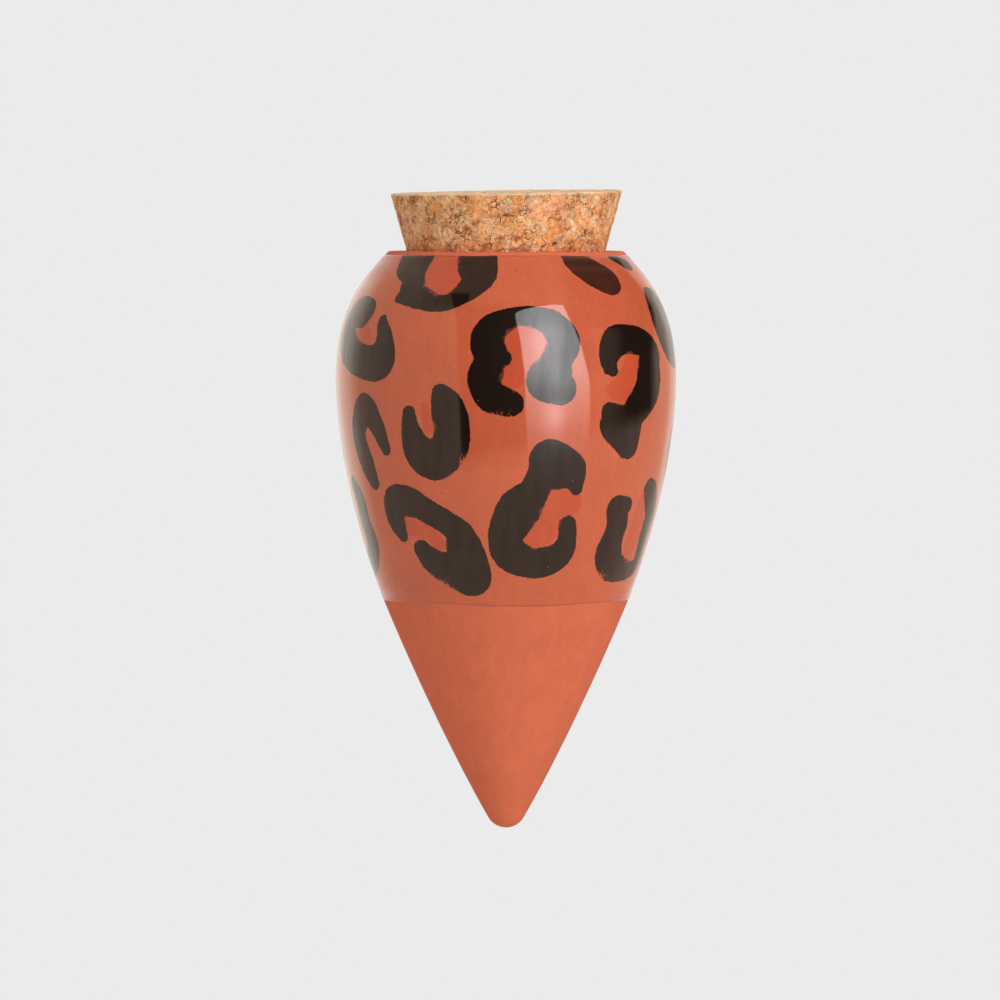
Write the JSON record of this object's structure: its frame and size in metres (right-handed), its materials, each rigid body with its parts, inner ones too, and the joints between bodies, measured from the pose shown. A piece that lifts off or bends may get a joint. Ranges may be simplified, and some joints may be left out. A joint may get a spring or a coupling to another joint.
{
  "type": "irrigation olla",
  "caption": "Pointed terracotta irrigation olla with a glazed, spotted belly, a bare porous foot for the soil and a tapered cork stopper that lifts out for filling.",
  "frame": {"origin": "on the axis of turning at the soil line, where the glaze of the belly ends and the bare foot begins", "axes": "+Z along the axis of turning, up through the stopper; -Y towards the viewer of the picture; +X to the viewer's right"},
  "size_m": [0.0772, 0.0772, 0.1444],
  "materials": {
    "glazed_terracotta": "clear gloss glaze over painted spots on the belly, bare matte terracotta on the lip and the foot",
    "agglomerated_cork": "natural, uncoated"
  },
  "bodies": {
    "vessel": {"clay_vessel": "glazed_terracotta"},
    "stopper": {"cork_stopper": "agglomerated_cork"}
  },
  "joints": [
    {"name": "stopper_pull", "type": "slide", "parent": "vessel", "child": "stopper", "axis": [0, 0, 1], "range_m": [0, 0.06]}
  ]
}
